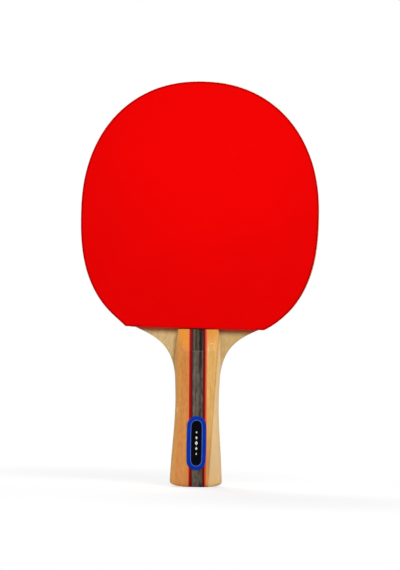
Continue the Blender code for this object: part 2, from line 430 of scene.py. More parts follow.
def addPly(name, nodeName, depths, side, farArris, material, slot):
    near, far = depths
    nearArris, steps = blade["arris"], blade["arrisSteps"]
    rows = [(blade["flatFrom"], near)]
    rows += roundRows(near + nearArris, nearArris, steps, -90, 0)
    rows += roundRows(far - farArris, farArris, steps, 0, 90)
    rows += [(blade["flatFrom"], far)]
    addPiece(name, loft(sheetRings(bladeLoop, rows, side)), material, slot, nodeName)


def cutLine(sheetNode):
    # the straight cut across a sheet, its longest side: the height at the middle, and the slope
    loop = nodeLoop(sheetNode)
    start, end = max(zip(loop, loop[1:] + loop[:1]), key=lambda run: (run[1] - run[0]).length)
    slope = (end.y - start.y) / (end.x - start.x)
    return start.y - start.x * slope, slope


def faceDress(sheetNode, side):
    # heartwood on one wing, and a painted shadow along the rubber's cut, red-brown close under it
    cutHeight, slope = cutLine(sheetNode)

    def dress(look, colour):
        at = look.place()
        across, _, along = look.axes(at)
        wander = look.noise(at, blade["wanderSize"], detail=3.0)
        colour = wash(look, colour, across * -side, blade["heart"])
        under = cutHeight / mm + across * slope - along + wander.swing(blade["wander"])
        band = under.rise(*blade["cutShadowFrom"])
        # painted shadow under the rubber's cut
        for cutShade in (blade["glue"], blade["cutShadowRed"]):
            share = band * under.rise(*cutShade["run"]) * cutShade["share"]
            colour = look.mix(share, colour, cutShade["tone"])
        return colour

    return dress


crossTimber = timber("crossVeneer", blade["crossWood"])
coreTimber = timber("coreWood", blade["coreWood"])
coreHalf = depthRange("blade_core_ply")[1]
addPly("corePly", "blade_core_ply", (-coreHalf, coreHalf), 1, blade["arris"], coreTimber, "core_ply")
for sideName, side in sides.items():
    node = f"blade_inner_ply_{sideName}"
    addPly(f"{sideName}CrossPly", node, depthRange(node), side, blade["arris"], crossTimber, "inner_ply")
    node = f"blade_outer_ply_{sideName}"
    faceTimber = timber(f"{sideName}Veneer", blade["faceWood"], faceDress(f"{sideName}_topsheet", side))
    addPly(f"{sideName}FacePly", node, depthRange(node), side, blade["faceArris"], faceTimber, "outer_ply")
print("blade: 5 plies,", len(bladeLoop), "points round each")


# rubber: a skin with its pimples turned inwards, on a sponge

rubber = {
    "spacing": 1.2 * mm,
    "cornerTurn": 20,
    "skin": 0.85 * mm,
    "underInset": 0.12 * mm,
    "underRise": 0.10 * mm,
    "edgeRound": 0.20 * mm,
    "edgeSteps": 5,
    "edgeStop": 0.05 * mm,
    "flatFrom": 1.6 * mm,
    # the painted shade line inside the rim: distance from the rounded edge in millimetres, and strength
    "edgeShadeLine": ((0.05, 0.35), (0.2, 1.0), (0.5, 0.65), (0.9, 0.32), (1.25, 0.1), (1.6, 0.0)),
    "cutBand": 1.0 * mm,
    "cutHalf": 36 * mm,
    "cutShare": 0.2,
    "pimplePitch": 2.1 * mm,
    "pimpleRadius": 0.75 * mm,
    "pimpleFlare": 1.2,
    "pimpleBand": 7.0 * mm,
    "pimpleCut": 0.15 * mm,
    "pimpleSink": 0.03 * mm,
    "pimpleSides": 12,
    "spongeInset": 0.10 * mm,
    "spongeHollow": 0.10 * mm,
    # shares of the sponge's thickness and of its hollow
    "spongeEdge": ((0, 0.5), (0.04, 0), (0.25, 0.7), (0.5, 1), (0.75, 0.7), (0.96, 0), (1, 0.5)),
    "hues": {"front": "red", "back": "black"},
    "red": {
        "bright": tint(244, 1, 1), "deep": tint(225, 1, 1), "rimShadeTone": tint(144, 2, 6),
        "rough": 0.48, "shine": 0.015, "mottled": 0.45, "specked": 0.25, "middleLight": 0.5,
    },
    "black": {
        "bright": tint(31, 31, 33), "deep": tint(21, 21, 23), "rimShadeTone": tint(16, 16, 17),
        "rough": 0.46, "shine": 0.16, "mottled": 0.9, "specked": 0.8, "middleLight": 0.4,
    },
    "sheet": {
        "mottle": (34, 34, 34), "speck": (0.35, 0.35, 0.35), "bloom": (5, 5, 9),
        "middleLightRun": (92, 24), "middleLightUp": 22, "bloomRough": 0.12, "speckRough": 0.08, "rimRough": 0.12,
        "speckRelief": 0.7, "bloomRelief": 0.3, "relief": 0.012,
    },
    "foam": {
        "light": tint(240, 196, 122), "dark": tint(206, 148, 78), "poreTone": tint(132, 84, 38),
        "cell": (0.34, 0.34, 0.34), "cellFrom": (0.1, 0.5), "grit": (0.12, 0.12, 0.12), "patch": (8, 8, 8),
        "patchy": 1.2, "gritty": 0.6, "porous": 0.6, "cellRelief": 0.8, "gritRelief": 0.4, "relief": 0.08,
        "rough": 0.85, "gritRough": 0.2, "shine": 0.2,
    },
}


def sheetRubber(name, tone, sheetNode):
    # painted light brightens the middle of the sheet, and painted shade darkens its edge
    sheet = rubber["sheet"]
    look = newLook(name)
    at = look.place()
    across, _, along = look.axes(at)
    rim = look.rim()
    low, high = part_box(sheetNode)
    # painted light, brightest a little above the sheet's middle and fading towards its rim
    up = along - (low.z + high.z) / 2 / mm - sheet["middleLightUp"]
    middleLight = (across * across + up * up).root().rise(*sheet["middleLightRun"])
    mottle = look.noise(at, sheet["mottle"], detail=3.0)
    speck = look.noise(at, sheet["speck"], detail=3.0, roughness=0.6)
    bloom = look.noise(at, sheet["bloom"], detail=4.0, roughness=0.6)
    share = 0.5 + mottle.swing(tone["mottled"]) + speck.swing(tone["specked"]) + middleLight.swing(tone["middleLight"])
    colour = look.mix(share, tone["deep"], tone["bright"])
    # painted shade along the sheet's rim
    colour = look.mix(rim, colour, tone["rimShadeTone"])
    roughness = tone["rough"] + bloom.swing(sheet["bloomRough"]) + speck.swing(sheet["speckRough"])
    roughness = roughness + rim * sheet["rimRough"]
    normal = look.bump(speck * sheet["speckRelief"] + bloom * sheet["bloomRelief"], sheet["relief"])
    return look.surface(colour, roughness, normal, Specular_IOR_Level=tone["shine"])


def spongeFoam(name, foam):
    look = newLook(name)
    at = look.place()
    cell = look.cells(at, foam["cell"]).rise(*foam["cellFrom"])
    grit = look.noise(at, foam["grit"])
    patch = look.noise(at, foam["patch"], detail=3.0)
    share = 0.5 + patch.swing(foam["patchy"]) + grit.swing(foam["gritty"])
    colour = look.mix(share, foam["dark"], foam["light"])
    colour = look.mix((1 - cell) * foam["porous"], colour, foam["poreTone"])
    roughness = foam["rough"] + grit.swing(foam["gritRough"])
    normal = look.bump(cell * foam["cellRelief"] + grit * foam["gritRelief"], foam["relief"])
    return look.surface(colour, roughness, normal, Specular_IOR_Level=foam["shine"])


def addPimples(name, loop, depths, side, material, slot):
    # a ring of short studs in staggered rows, as deep as can be seen, the outermost cut with the sheet
    tree = KDTree(len(loop))
    for index, spot in enumerate(loop):
        tree.insert((spot.x, spot.y, 0), index)
    tree.balance()
    inwards = [inner - outer for inner, outer in zip(insetLoop(loop, 1.0), loop)]

    def rimNear(spot):
        # how far inside the rim a point is, the way in from there, and how far the rim is
        index, apart = tree.find((spot.x, spot.y, 0))[1:]
        return (spot - loop[index]).dot(inwards[index]), inwards[index], apart

    pitch = rubber["pimplePitch"]
    rowPitch = pitch * math.sqrt(3) / 2
    count = rubber["pimpleSides"]
    cut = rubber["pimpleCut"]
    left, right = min(spot.x for spot in loop), max(spot.x for spot in loop)
    bottom, top = min(spot.y for spot in loop), max(spot.y for spot in loop)
    shape = None
    made = 0
    for row in range(int((top - bottom) / rowPitch) + 1):
        for column in range(int((right - left) / pitch) + 1):
            here = Vector((left + (column + row % 2 / 2) * pitch, bottom + row * rowPitch))
            inset, _, apart = rimNear(here)
            if inset < cut or apart > rubber["pimpleBand"]:
                continue
            rings = []
            for depth, wide in zip(depths, (1.0, rubber["pimpleFlare"])):
                ring = []
                for step in range(count):
                    turn = 2 * math.pi * step / count
                    spot = here + Vector((math.cos(turn), math.sin(turn))) * rubber["pimpleRadius"] * wide
                    inset, way, _ = rimNear(spot)
                    spot += way * max(0.0, cut - inset)
                    ring.append((spot.x, side * depth, spot.y))
                rings.append(ring)
            shape = loft(rings, shape=shape)
            made += 1
    addPiece(name, shape, material, slot)
    return made


def lineShares(sheetNode, loop):
    # how strong the painted shade line is at each point of the rim: weak along the cut, between the wings
    cutHeight, slope = cutLine(sheetNode)
    shares = []
    for spot in loop:
        above = spot.y - cutHeight - spot.x * slope
        onCut = above < rubber["cutBand"] and abs(spot.x) < rubber["cutHalf"]
        shares.append(rubber["cutShare"] if onCut else 1.0)
    return shares


def addTopsheet(sideName, side, loop):
    sheetNode = f"{sideName}_topsheet"
    near, far = depthRange(sheetNode)
    under = far - rubber["skin"]
    edge = rubber["edgeRound"]
    rows = [
        (rubber["flatFrom"], under),
        (rubber["underInset"], under),
        (0, under + rubber["underRise"]),
        (0, far - edge - rubber["edgeStop"]),
    ]
    rows += roundRows(far - edge, edge, rubber["edgeSteps"], 0, 90)
    # painted shade: the rows nearest the edge are darkened, less along the cut
    paintedShade = [0.0] * len(rows)
    for inset, share in rubber["edgeShadeLine"]:
        rows.append((edge + inset * mm, far))
        paintedShade.append(share)
    shares = lineShares(sheetNode, loop)
    rims = [[dark * share for share in shares] for dark in paintedShade]
    hue = rubber["hues"][sideName]
    skin = sheetRubber(f"{hue}Rubber", rubber[hue], sheetNode)
    slot = f"{hue}_rubber"
    addPiece(f"{sideName}Topsheet", loft(sheetRings(loop, rows, side), rims), skin, slot, sheetNode)
    return addPimples(f"{sideName}Pimples", loop, (near, under + rubber["pimpleSink"]), side, skin, slot)


def addSponge(sideName, side, loop, foam):
    spongeNode = f"{sideName}_sponge"
    near, far = depthRange(spongeNode)
    rows = [(rubber["flatFrom"], near)]
    for share, hollow in rubber["spongeEdge"]:
        rows.append((rubber["spongeInset"] + rubber["spongeHollow"] * hollow, near + (far - near) * share))
    rows.append((rubber["flatFrom"], far))
    made = addPiece(f"{sideName}Sponge", loft(sheetRings(loop, rows, side)), foam, "sponge", spongeNode)


foamLook = spongeFoam("spongeFoam", rubber["foam"])
for sideName, side in sides.items():
    sheetLoop = smoothLoop(nodeLoop(f"{sideName}_topsheet"), rubber["spacing"], rubber["cornerTurn"])
    pimples = addTopsheet(sideName, side, sheetLoop)
    addSponge(sideName, side, sheetLoop, foamLook)
    print(f"{sideName} rubber:", pimples, "pimples near the rim")


# handle: two scales, each of five strips

handle = {
    "spacing": 1.6 * mm,
    "edgeWidth": 3.6 * mm,
    "edgeDepth": 4.5 * mm,
    "arris": 0.06 * mm,
    "endArris": 0.20 * mm,
    "endLean": 0.6,
    "ridgeSoft": 0.7 * mm,
    "ridgeDrop": 0.05 * mm,
    "ridgeClear": 0.2 * mm,
    "ridgeBand": 0.2 * mm,
    "edgeSteps": 9,
    "flatSteps": 4,
    "crownSteps": 6,
    "sideStep": 0.25,
    "leastCheek": 0.3 * mm,
    "sharpTurn": 30,
    # how closely the nodes' points are told apart
    "digits": 5,
    "level": 0.001 * mm,
    "glueClear": 0.1 * mm,
    "endBand": 0.2 * mm,
    "orangeWood": {
        "shift": (11, 5, 30), "light": tint(221, 148, 77), "dark": tint(198, 121, 55),
        "poreTone": tint(138, 78, 34), "broad": (7, 7, 150), "streak": (0.7, 0.7, 42),
        "fibre": (0.22, 0.22, 7), "pore": (0.26, 0.26, 4.5), "ring": 0.6, "warp": 8.0,
        "broadly": 1.1, "streaky": 1.0, "ringed": 0.06, "fibrous": 0.5, "porous": 0.4,
        "fleck": (1.5, 1.5, 3.6), "flecky": 1.5,
        "rough": 0.46, "relief": 0.04, "shine": 0.12, "coat": 0.04, "coatRough": 0.3,
    },
    "yellowWood": {
        "shift": (53, 9, 60), "light": tint(237, 191, 115), "dark": tint(217, 161, 84),
        "poreTone": tint(152, 100, 48), "broad": (7, 7, 150), "streak": (0.8, 0.8, 42),
        "fibre": (0.22, 0.22, 7), "pore": (0.26, 0.26, 4.5), "ring": 0.6, "warp": 7.0,
        "broadly": 1.0, "streaky": 0.9, "ringed": 0.06, "fibrous": 0.5, "porous": 0.35,
        "fleck": (1.5, 1.5, 5.0), "flecky": 1.3,
        "rough": 0.46, "relief": 0.04, "shine": 0.12, "coat": 0.04, "coatRough": 0.3,
    },
    "redWood": {
        "shift": (0, 30, 0), "light": tint(126, 26, 20), "dark": tint(92, 16, 12),
        "poreTone": tint(62, 6, 6), "broad": (4, 4, 90), "streak": (0.4, 0.4, 26),
        "fibre": (0.18, 0.18, 5), "pore": (0.2, 0.2, 3), "ring": 0.5, "warp": 5.0,
        "broadly": 0.8, "streaky": 1.2, "ringed": 0.1, "fibrous": 0.5, "porous": 0.5,
        "fleck": (0.8, 0.8, 4.0), "flecky": 0.6,
        "rough": 0.44, "relief": 0.03, "shine": 0.03, "coat": 0.0, "coatRough": 0.3,
    },
    "greyWood": {
        "shift": (0, 0, 15), "light": tint(118, 108, 98), "dark": tint(52, 43, 36),
        "poreTone": tint(36, 31, 28), "broad": (1.6, 1.6, 40), "streak": (0.6, 0.6, 6),
        "fibre": (0.22, 0.22, 1.8), "pore": (0.25, 0.25, 3), "ring": 0.42, "warp": 6.0,
        "broadly": 0.9, "streaky": 1.8, "ringed": 0.05, "fibrous": 0.9, "porous": 0.4,
        "fleck": (1.1, 1.1, 4.0), "flecky": 1.3,
        "rough": 0.46, "relief": 0.03, "shine": 0.04, "coat": 0.0, "coatRough": 0.3,
    },
    "wanderSize": (3, 3, 14),
    # runs up the handle from the butt
    # painted light: the orange cheek grows paler towards the foot, which the lamps light less
    "orangeFootLight": {"tone": tint(232, 160, 92), "run": (70, 5), "share": 0.35},
    "goldFoot": {"tone": tint(192, 125, 54), "run": (45, 10), "share": 0.65},
    "paleFoot": {"tone": tint(244, 192, 110), "run": (16, 1), "share": 0.35},
    # runs across from the strips' middle
    "bleed": {"tone": tint(248, 112, 72), "run": (6.3, 5.6), "least": 0.7, "wander": 0.4},
    "leftDye": {"tone": tint(166, 18, 8), "run": (-3.9, -4.6), "share": 0.9},
    "rightDye": {"tone": tint(236, 84, 56), "run": (4.4, 4.9), "share": 0.85},
    "greyEdge": {"tone": tint(80, 24, 16), "run": (2.5, 3.5), "share": 0.55},
    # runs across from the join of sapwood and heartwood
    "join": {"foot": 7.5, "slant": 0.057, "wander": 0.6},
    "sapwood": {"tone": tint(237, 206, 156), "run": (-0.3, 1.0), "share": 0.75},
    "joinLine": {"tone": tint(178, 116, 56), "rise": (-0.5, 0.0), "fall": (0.4, 0.0), "share": 0.45},
    # painted light on the orange cheek's rounded outer edge, which the lamps leave darker
    "edgeLightTone": tint(238, 184, 108),  # the orange cheek's outer edge
    "edgeLightShare": 0.85,
    # streaks of the grey strip, placed across from its middle, and a painted highlight along its ridge
    "greyWanderSize": (2, 2, 30),
    "greyWander": 0.8,
    "paleStreaks": {"tone": tint(130, 120, 108), "run": (0.75, 0.2), "shares": {-2.2: 0.35, 0.1: 0.2}},
    "blackStreak": {
        "tone": tint(16, 12, 8), "at": 1.75, "run": (1.05, 0.4), "share": 0.9,
        "upRun": (60, 88), "least": 0.35,
    },
    "ridgeHighlight": {"tone": tint(150, 146, 138), "run": (0.7, 0.1), "share": 0.15},
    "ridgeHighlightUp": 0.1,
    # the ramp: half width at its top, how fast it narrows downwards, soft edge, and runs up from the ridge
    "rampSide": 12.6,
    "rampTaper": 0.28,
    "rampEdge": (-1.5, 1.3),
    # painted light: the cheeks' ramp facets are painted brighter, as the lamps light a face tilted up
    "orangeRampLight": {"tone": tint(242, 150, 30), "run": (-0.6, 3.4), "share": 0.65},
    "yellowRampLight": {"tone": tint(224, 140, 36), "run": (-0.6, 12.0), "share": 0.85},
    "greyRamp": {"tone": tint(34, 20, 2), "run": (-0.6, 1.6), "share": 0.62},
    # single marks: across from the handle's middle, and up from the butt
    "scratch": {"at": (8.7, 90.5), "half": (1.3, 0.45), "tone": tint(255, 214, 150), "share": 0.6},
    "nick": {"at": (-12.5, 48.6), "half": (0.9, 2.0), "tone": tint(252, 200, 146), "share": 0.6},
    # painted shadow at the butt's edge, over the right veneer and the grey strip
    "footShadow": {"at": (3.7, 0.0), "half": (2.2, 1.1), "tone": tint(20, 10, 6), "share": 0.85},
    "markFront": (0.0, -1.0),  # marks show only in front of the blade's middle
}


def ownPlace(look):
    # across from the handle's middle and from the strips' middle, seen from the scale's own side, and up
    at = look.place()
    across, through, along = look.axes(at)
    own = across * (1 - 2 * through.maths("GREATER_THAN", through, 0.0))
    stripe = own - (stripeFoot / mm + along * ((stripeHead - stripeFoot) / handleEnd))
    return at, own, stripe, along


def rampDress(look, colour, own, along, ramp):
    # the ramp narrows towards its foot between the rounded edges; on the cheeks it is painted brighter,
    # painted light as on a face tilted up to the lamps, and on the grey strip darker
    side = handle["rampSide"] - (handleEnd / mm - along) * handle["rampTaper"]
    facet = (side - abs(own)).rise(*handle["rampEdge"]) * (along - ridgeHeight / mm).rise(*ramp["run"])
    return look.mix(facet * ramp["share"], colour, ramp["tone"])


def markDress(look, colour, own, along, mark):
    # one mark on the front scale only: a scratch or nick of use, or the painted shadow at the foot
    front = look.axes(look.place())[1].rise(*handle["markFront"])
    across, up = mark["at"]
    wide, high = mark["half"]
    spot = abs(own - across).rise(wide, wide / 2) * abs(along - up).rise(high, high / 2)
    return look.mix(spot * front * mark["share"], colour, mark["tone"])


def bleedDress(look, colour, stripe, wander):
    # dye from the red veneer has crept into the cheek's inner edge
    bleed = handle["bleed"]
    share = abs(stripe).rise(*bleed["run"]) * (bleed["least"] + wander * bleed["wander"])
    return look.mix(share, colour, bleed["tone"])


def orangeDress(look, colour):
    # painted light: the rounded outer edge and the foot are painted paler, where the lamps leave them darker
    at, own, stripe, along = ownPlace(look)
    wander = look.noise(at, handle["wanderSize"])
    colour = wash(look, colour, along, handle["orangeFootLight"])
    colour = look.mix(look.rim() * handle["edgeLightShare"], colour, handle["edgeLightTone"])
    colour = rampDress(look, colour, own, along, handle["orangeRampLight"])
    colour = markDress(look, colour, own, along, handle["nick"])
    return bleedDress(look, colour, stripe, wander)


def yellowDress(look, colour):
    # heartwood inside, sapwood outside, with the join of the two running up at a slant
    at, own, stripe, along = ownPlace(look)
    wander = look.noise(at, handle["wanderSize"])
    join = handle["join"]
    past = own - (join["foot"] + along * join["slant"]) + wander.swing(join["wander"])
    colour = wash(look, colour, along, handle["goldFoot"])
    colour = wash(look, colour, past, handle["sapwood"])
    colour = wash(look, colour, along, handle["paleFoot"])
    line = handle["joinLine"]
    share = past.rise(*line["rise"]) * past.rise(*line["fall"]) * line["share"]
    colour = look.mix(share, colour, line["tone"])
    colour = rampDress(look, colour, own, along, handle["yellowRampLight"])
    colour = markDress(look, colour, own, along, handle["scratch"])
    return bleedDress(look, colour, stripe, wander)


def redDress(look, colour):
    # the veneers took the dye brighter on their outer halves, the right one most
    _, own, stripe, along = ownPlace(look)
    colour = wash(look, colour, stripe, handle["leftDye"])
    colour = wash(look, colour, stripe, handle["rightDye"])
    # painted shadow at the butt's edge
    return markDress(look, colour, own, along, handle["footShadow"])


def greyDress(look, colour):
    # two pale streaks, a near-black one right of the middle, strongest on the ramp, a painted highlight along
    # the ridge, and the painted shadow at the foot
    at, own, stripe, along = ownPlace(look)
    wander = look.noise(at, handle["greyWanderSize"]).swing(handle["greyWander"])
    colour = rampDress(look, colour, own, along, handle["greyRamp"])
    colour = wash(look, colour, abs(stripe), handle["greyEdge"])
    pale = handle["paleStreaks"]
    for place, share in pale["shares"].items():
        streak = abs(stripe - place + wander).rise(*pale["run"])
        colour = look.mix(streak * share, colour, pale["tone"])
    black = handle["blackStreak"]
    streak = abs(stripe - black["at"] + wander).rise(*black["run"])
    streak = streak * (black["least"] + along.rise(*black["upRun"]) * (1 - black["least"]))
    colour = look.mix(streak * black["share"], colour, black["tone"])
    # painted highlight along the ridge
    colour = wash(look, colour, abs(along - ridgeHeight / mm - handle["ridgeHighlightUp"]), handle["ridgeHighlight"])
    # painted shadow at the butt's edge
    return markDress(look, colour, own, along, handle["footShadow"])


def levelAt(height, levels):
    # a straight line between the two nearest of these heights
    above = min(level for level in levels if level >= height)
    below = max(level for level in levels if level <= height)
    share = (height - below) / (above - below) if above > below else 0
    return levels[below] + (levels[above] - levels[below]) * share


def scaleRows():
    # height, half width and thickness up the front scale, read off its cheek and its middle strip
    seat = depthRange("front_centre_strip")[0]
    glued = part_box("front_right_cheek")[0].x
    widths, depths = {}, {}
    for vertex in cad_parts["front_right_cheek"].data.vertices:
        height = round(vertex.co.z, handle["digits"])
        if vertex.co.x > glued + handle["glueClear"]:
            widths[height] = max(widths.get(height, 0), vertex.co.x)
    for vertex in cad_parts["front_centre_strip"].data.vertices:
        height = round(vertex.co.z, handle["digits"])
        depths[height] = max(depths.get(height, 0), -vertex.co.y - seat)
    return [Vector((height, widths[height], levelAt(height, depths))) for height in sorted(widths)]


def scaleStations():
    # the same rows smoothed, with a soft ridge at the foot of the ramp and a softened upper end
    rows = scaleRows()
    full = max(row.z for row in rows)
    crest = max(index for index, row in enumerate(rows) if row.z > full - handle["level"])
    grip = smoothRun(rows[:crest + 1], handle["spacing"])
    ramp = smoothRun(rows[crest:], handle["spacing"])
    ridge = rows[crest]
    below = ridge + (grip[-2] - ridge).normalized() * handle["ridgeSoft"]
    above = ridge + (ramp[1] - ridge).normalized() * handle["ridgeSoft"]
    grip = [row for row in grip if row.x < below.x - handle["ridgeClear"]]
    ramp = [row for row in ramp if row.x > above.x + handle["ridgeClear"]]
    end = ramp.pop()
    cut = handle["endArris"]
    last = end.lerp(ramp[-1], cut / (end - ramp[-1]).length)
    end = Vector((end.x, end.y - cut * handle["endLean"], end.z - cut))
    for row in grip:
        row.x = max(row.x, 0.0)
        row.z = min(row.z, full)
    return grip + [below, ridge - Vector((0, 0, handle["ridgeDrop"])), above] + ramp + [last, end]


stations = scaleStations()
thickest = max(row.z for row in stations)
ridgeHeight = max(row.x for row in stations if row.z > thickest - handle["ridgeBand"])
handleEnd = max(row.x for row in stations)


def endSpan(nodeName, height):
    # the least and greatest across of a strip at one end of the handle
    spots = [vertex.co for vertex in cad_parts[nodeName].data.vertices]
    across = [spot.x for spot in spots if abs(spot.z - height) < handle["endBand"]]
    return min(across), max(across)


stripeFoot = sum(endSpan("front_centre_strip", 0)) / 2
stripeHead = sum(endSpan("front_centre_strip", handleEnd)) / 2


def stripeAt(height):
    # the strips lean, so their middle moves across on the way up
    return stripeFoot + (stripeHead - stripeFoot) * height / handleEnd


def cheekCrown(start, arcFrom, edgeWidth, edgeDepth, thickness):
    # across, depth and rim over a cheek's flat and round its edge
    onFlat = handle["flatSteps"] if start < arcFrom else 0  # none where the butt draws the cheek in
    onArc = handle["flatSteps"] + handle["edgeSteps"] - onFlat
    points = [(start + (arcFrom - start) * step / onFlat, thickness, 0) for step in range(onFlat)]
    first = math.asin(min(1.0, max(0.0, (start - arcFrom) / edgeWidth)))
    for step in range(onArc + 1):
        turn = first + (math.pi / 2 - first) * step / onArc
        across = arcFrom + edgeWidth * math.sin(turn)
        points.append((across, thickness - edgeDepth * (1 - math.cos(turn)), math.sin(turn)))
    return points


def stripSection(inner, outer, station):
    # across, depth and rim round a strip; outer is None for a cheek, which runs to the handle's side
    _, halfWidth, thickness = station
    edgeWidth = min(handle["edgeWidth"], halfWidth / 2)
    edgeDepth = handle["edgeDepth"] * thickness / thickest
    arcFrom = halfWidth - edgeWidth

    def crown(across):
        over = min(1.0, max(0.0, (abs(across) - arcFrom) / edgeWidth))
        return thickness - edgeDepth * (1 - math.sqrt(1 - over * over))

    limit = halfWidth if outer is None else outer
    arris = min(handle["arris"], (limit - inner) / 4)
    points = [(inner, 0, 0), (inner, crown(inner) - arris, 0)]
    if outer is None:
        points += cheekCrown(inner + arris, arcFrom, edgeWidth, edgeDepth, thickness)
        points += [(halfWidth, thickness * handle["sideStep"], 1), (halfWidth, 0, 1)]
    else:
        steps = handle["crownSteps"]
        for step in range(steps + 1):
            across = inner + arris + (outer - inner - 2 * arris) * step / steps
            points.append((across, crown(across), 0))
        points += [(outer, crown(outer) - arris, 0), (outer, 0, 0)]
    return points


def addStrip(name, nodeName, inner, outer, mirror, side, material, slot):
    # mirror is -1 for a strip left of the middle, seen from its own side
    seat = depthRange(nodeName)[0]
    rings, rims = [], []
    for station in stations:
        lean = mirror * stripeAt(station.x)
        if outer is None and station.y < inner + lean + handle["leastCheek"]:
            continue
        section = stripSection(inner + lean, None if outer is None else outer + lean, station)
        rings.append([(-side * mirror * a, side * (seat + d), station.x) for a, d, _ in section])
        rims.append([rim for _, _, rim in section])
    addPiece(name, loft(rings, rims), material, slot, nodeName, sharpTurn=handle["sharpTurn"])


orangeTimber = timber("orangeCheek", handle["orangeWood"], orangeDress)
yellowTimber = timber("yellowCheek", handle["yellowWood"], yellowDress)
redTimber = timber("redVeneer", handle["redWood"], redDress)
greyTimber = timber("greyStrip", handle["greyWood"], greyDress)
cheekFrom = endSpan("front_right_cheek", handleEnd)[0] - stripeHead
veneerFrom, veneerTo = (across - stripeHead for across in endSpan("front_right_red_veneer", handleEnd))
stripTo = endSpan("front_centre_strip", handleEnd)[1] - stripeHead
strips = {
    "LeftCheek": ("left_cheek", cheekFrom, None, -1, orangeTimber, "orange_cheek"),
    "RightCheek": ("right_cheek", cheekFrom, None, 1, yellowTimber, "yellow_cheek"),
    "MiddleStrip": ("centre_strip", -stripTo, stripTo, 1, greyTimber, "grey_strip"),
    "LeftVeneer": ("left_red_veneer", veneerFrom, veneerTo, -1, redTimber, "red_veneer"),
    "RightVeneer": ("right_red_veneer", veneerFrom, veneerTo, 1, redTimber, "red_veneer"),
}
for sideName, side in sides.items():
    for stripName, (nodeEnd, inner, outer, mirror, material, slot) in strips.items():
        node = f"{sideName}_{nodeEnd}"
        addStrip(f"{sideName}{stripName}", node, inner, outer, mirror, side, material, slot)
widest = max(row.y for row in stations) * 2 / mm
print("handle:", len(stations), "stations up each strip, widest", round(widest, 2), "mm")


# badge: a domed capsule with a plain dark panel

badge = {
    "spacing": 0.8 * mm,
    "cornerTurn": 45,
    # the plate's rows, in mm: inset, and height over the seat or drop below the dome's edge or the dome
    "seatRows": ((1.2, 0), (0.1, 0), (0, 0.05)),
    "edgeRows": ((0, 0.14), (0.05, 0.05)),
    "domeRows": ((0.15, 0.01), (0.35, 0), (0.8, 0), (1.5, 0), (2.3, 0), (3.2, 0), (4.2, 0), (5.2, 0)),
    "dome": 0.16 * mm,
    "domeRun": 5.4 * mm,
    "proud": 0.025 * mm,
    "panelInset": 2.9 * mm,
    "panelSink": 0.05 * mm,
    "panelRound": 0.05 * mm,
    "panelRows": (0.5, 1.2, 2.0),
    "lineInset": 2.35 * mm,
    "lineWidth": 0.28 * mm,
    "lineSink": 0.04 * mm,
    "diamonds": (0.55, 0.8, 1.05, 0.8, 0.55),
    "diamondPitch": 3.4 * mm,
    "diamondHigh": 1.3 * mm,
    "diamondWide": 0.95 * mm,
    "diamondSink": 0.02 * mm,
    "diamondRound": 0.01 * mm,
    "diamondTop": 0.93,
    "blue": {"bright": tint(2, 56, 182), "deep": tint(2, 44, 150), "rough": 0.3, "shine": 0.05},
    "black": {"bright": tint(6, 6, 12), "deep": tint(2, 2, 6), "rough": 0.32, "shine": 0.02},
    "pale": {"bright": tint(226, 230, 236), "deep": tint(206, 210, 218), "rough": 0.35, "shine": 0.4},
    "line": {"bright": tint(96, 122, 178), "deep": tint(80, 104, 160), "rough": 0.35, "shine": 0.2},
    "glaze": {
        "cloud": (5, 5, 5), "cloudy": 1.4, "cloudRough": 0.12, "fleck": (0.25, 0.25, 0.25), "flecky": 0.5,
        "fleckRelief": 0.4, "relief": 0.02, "coat": 0.02, "coatRough": 0.12,
    },
}


def enamel(name, tone):
    glaze = badge["glaze"]
    look = newLook(name)
    at = look.place()
    cloud = look.noise(at, glaze["cloud"], detail=3.0)
    fleck = look.noise(at, glaze["fleck"], detail=3.0)
    share = 0.5 + cloud.swing(glaze["cloudy"]) + fleck.swing(glaze["flecky"])
    return look.surface(
        look.mix(share, tone["deep"], tone["bright"]),
        tone["rough"] + cloud.swing(glaze["cloudRough"]),
        look.bump(fleck * glaze["fleckRelief"] + cloud, glaze["relief"]),
        Specular_IOR_Level=tone["shine"],
        Coat_Weight=glaze["coat"],
        Coat_Roughness=glaze["coatRough"],
    )


badgeNear, badgeFar = depthRange("grip_badge")
badgeLoop = smoothLoop(nodeLoop("grip_badge"), badge["spacing"], badge["cornerTurn"])
crownDepth = badgeFar - 2 * badge["proud"]


def domeAt(inset):
    share = min(1.0, inset / badge["domeRun"])
    return crownDepth - badge["dome"] * (1 - share) ** 2


def plateRows():
    rows = [(inset * mm, badgeNear + height * mm) for inset, height in badge["seatRows"]]
    rows += [(inset * mm, domeAt(0) - drop * mm) for inset, drop in badge["edgeRows"]]
    return rows + [(inset * mm, domeAt(inset * mm) - drop * mm) for inset, drop in badge["domeRows"]]


def panelRows():
    start, proud = badge["panelInset"], badge["proud"]
    rows = [
        (start, domeAt(start) - badge["panelSink"]),
        (start, domeAt(start) + proud / 2),
        (start + badge["panelRound"], domeAt(start) + proud),
    ]
    return rows + [(start + step * mm, domeAt(start + step * mm) + proud) for step in badge["panelRows"]]


def lineRows():
    start, proud, sink = badge["lineInset"], badge["proud"], badge["lineSink"]
    end = start + badge["lineWidth"]
    rows = [(start, domeAt(start) - sink), (start, domeAt(start) + proud)]
    return rows + [(end, domeAt(end) + proud), (end, domeAt(end) - sink)]


